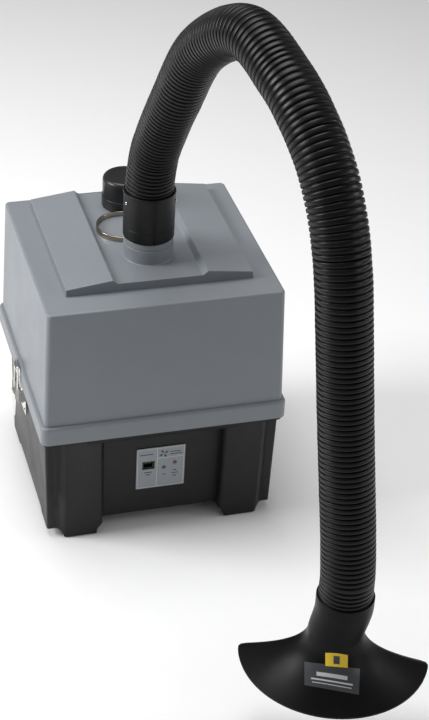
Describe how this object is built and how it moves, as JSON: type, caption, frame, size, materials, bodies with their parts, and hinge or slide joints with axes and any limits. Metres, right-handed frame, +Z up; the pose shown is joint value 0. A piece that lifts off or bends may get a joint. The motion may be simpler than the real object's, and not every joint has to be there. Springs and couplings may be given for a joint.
{
  "type": "solder fume extractor",
  "caption": "Bench solder fume extractor: a filter and blower box with toggle latches and a stay-put corrugated hose arching to a half-round funnel nozzle.",
  "frame": {"origin": "middle of the whole object's footprint, on the bench under its rubber feet", "axes": "+Z up; -Y is the front, where the label plate is and where the hose arches to; +X is the box's right side seen from the front"},
  "size_m": [0.369, 0.7852, 0.7749],
  "materials": {
    "grey_plastic": "moulded hood, fine satin grain",
    "black_plastic": "moulded black plastic, satin",
    "hose_plastic": "black hose and nozzle plastic, semi-matte",
    "rubber": "matte black rubber",
    "plated_steel": "bright plated steel",
    "tinted_brass": "brown-tinted polished ring",
    "sheet_steel": "plain zinc-plated sheet",
    "panel_alloy": "silver-grey printed label plate",
    "supply_case": "folded alloy case",
    "cast_alloy": "cast alloy, as cast",
    "impeller_alloy": "pressed alloy wheel",
    "carbon": "granulated activated carbon",
    "filter_fleece": "white polyester fleece",
    "glass_paper": "pleated glass-fibre paper",
    "foam": "open-cell acoustic foam",
    "circuit_board": "green circuit board",
    "rocker_black": "glossy black rocker",
    "lamp_green": "green lamp lens",
    "lamp_red": "red lamp lens"
  },
  "bodies": {
    "extractor_box": {"alarm_lamp": "lamp_red", "base_tub": "black_plastic", "blower_cover": "sheet_steel", "blower_drum": "cast_alloy", "carbon_bed": "carbon", "carbon_grid": "sheet_steel", "cassette_frame": "sheet_steel", "control_board": "circuit_board", "damper_back_left": "rubber", "damper_back_right": "rubber", "damper_front_left": "rubber", "damper_front_right": "rubber", "deck_plate": "black_plastic", "exhaust_duct": "black_plastic", "exhaust_grille": "black_plastic", "filter_seal": "rubber", "foot_pad_back_left": "rubber", "foot_pad_back_right": "rubber", "foot_pad_front_left": "rubber", "foot_pad_front_right": "rubber", "front_panel": "panel_alloy", "fuse_holder": "black_plastic", "hepa_pleats": "glass_paper", "hood": "grey_plastic", "interface_socket": "black_plastic", "keeper_left": "plated_steel", "keeper_right": "plated_steel", "latch_plate_left": "plated_steel", "latch_plate_right": "plated_steel", "lid_gasket": "rubber", "motor": "cast_alloy", "motor_bracket": "sheet_steel", "power_inlet": "black_plastic", "power_supply": "supply_case", "prefilter_mat": "filter_fleece", "silencer_foam": "foam", "status_lamp": "lamp_green", "switch_frame": "black_plastic", "trim_ring": "tinted_brass"},
    "hose_base": {"hose_cuff": "hose_plastic", "cuff_screw_left": "plated_steel", "cuff_screw_right": "plated_steel", "hose_riser": "hose_plastic", "hose_lift_bend": "hose_plastic"},
    "arch": {"hose_arch": "hose_plastic", "hose_reach_bend": "hose_plastic"},
    "drop": {"hose_drop": "hose_plastic", "hose_tilt_bend": "hose_plastic"},
    "tail": {"hose_tail": "hose_plastic"},
    "nozzle_body": {"nozzle": "hose_plastic"},
    "cap": {"port_cap": "black_plastic"},
    "rotor": {"impeller": "impeller_alloy", "motor_shaft": "plated_steel"},
    "lever_left": {"latch_lever_left": "plated_steel"},
    "lever_right": {"latch_lever_right": "plated_steel"},
    "bail_left": {"latch_bail_left": "plated_steel"},
    "bail_right": {"latch_bail_right": "plated_steel"},
    "rocker": {"switch_rocker": "rocker_black"},
    "drawer": {"fuse_drawer": "black_plastic"}
  },
  "joints": [
    {"name": "hose_swivel", "type": "hinge", "parent": "extractor_box", "child": "hose_base", "pos_m": [-0.01715, 0.20112, 0.4], "axis": [0, 0, 1], "continuous": true},
    {"name": "hose_lift", "type": "hinge", "parent": "hose_base", "child": "arch", "pos_m": [-0.00964, 0.16317, 0.55207], "axis": [-0.981, -0.1942, 0], "range_deg": [-8, 20], "deforming": ["hose_lift_bend"]},
    {"name": "hose_reach", "type": "hinge", "parent": "arch", "child": "drop", "pos_m": [0.0657, -0.21731, 0.64864], "axis": [-0.981, -0.1942, 0], "range_deg": [-9, 15], "deforming": ["hose_reach_bend"]},
    {"name": "hose_tilt", "type": "hinge", "parent": "drop", "child": "tail", "pos_m": [0.08289, -0.30411, 0.29437], "axis": [-0.981, -0.1942, 0], "range_deg": [-12, 20], "deforming": ["hose_tilt_bend"]},
    {"name": "nozzle_swivel", "type": "hinge", "parent": "tail", "child": "nozzle_body", "pos_m": [0.08492, -0.31437, 0.198], "axis": [0, 0, 1], "continuous": true},
    {"name": "cap_lift", "type": "slide", "parent": "extractor_box", "child": "cap", "axis": [0, 0, 1], "range_m": [0, 0.045]},
    {"name": "impeller_spin", "type": "hinge", "parent": "extractor_box", "child": "rotor", "pos_m": [-0.01715, 0.21812, 0.1], "axis": [0, 0, 1], "continuous": true},
    {"name": "latch_lever_left", "type": "hinge", "parent": "extractor_box", "child": "lever_left", "pos_m": [-0.17765, 0.23812, 0.144], "axis": [0, 1, 0], "range_deg": [0, 120]},
    {"name": "latch_lever_right", "type": "hinge", "parent": "extractor_box", "child": "lever_right", "pos_m": [0.14335, 0.23812, 0.144], "axis": [0, -1, 0], "range_deg": [0, 120]},
    {"name": "latch_bail_left", "type": "hinge", "parent": "lever_left", "child": "bail_left", "pos_m": [-0.18115, 0.23812, 0.1365], "axis": [0, 1, 0], "range_deg": [-126, 0]},
    {"name": "latch_bail_right", "type": "hinge", "parent": "lever_right", "child": "bail_right", "pos_m": [0.14685, 0.23812, 0.1365], "axis": [0, -1, 0], "range_deg": [-126, 0]},
    {"name": "mains_rocker", "type": "hinge", "parent": "extractor_box", "child": "rocker", "pos_m": [0.02585, 0.33462, 0.095], "axis": [1, 0, 0], "range_deg": [0, 14]},
    {"name": "fuse_drawer_slide", "type": "slide", "parent": "extractor_box", "child": "drawer", "axis": [0, 1, 0], "range_m": [0, 0.02]}
  ],
  "couplings": [
    {"joint": "latch_bail_left", "follows": "latch_lever_left", "ratio": -1.05},
    {"joint": "latch_bail_right", "follows": "latch_lever_right", "ratio": -1.05}
  ]
}
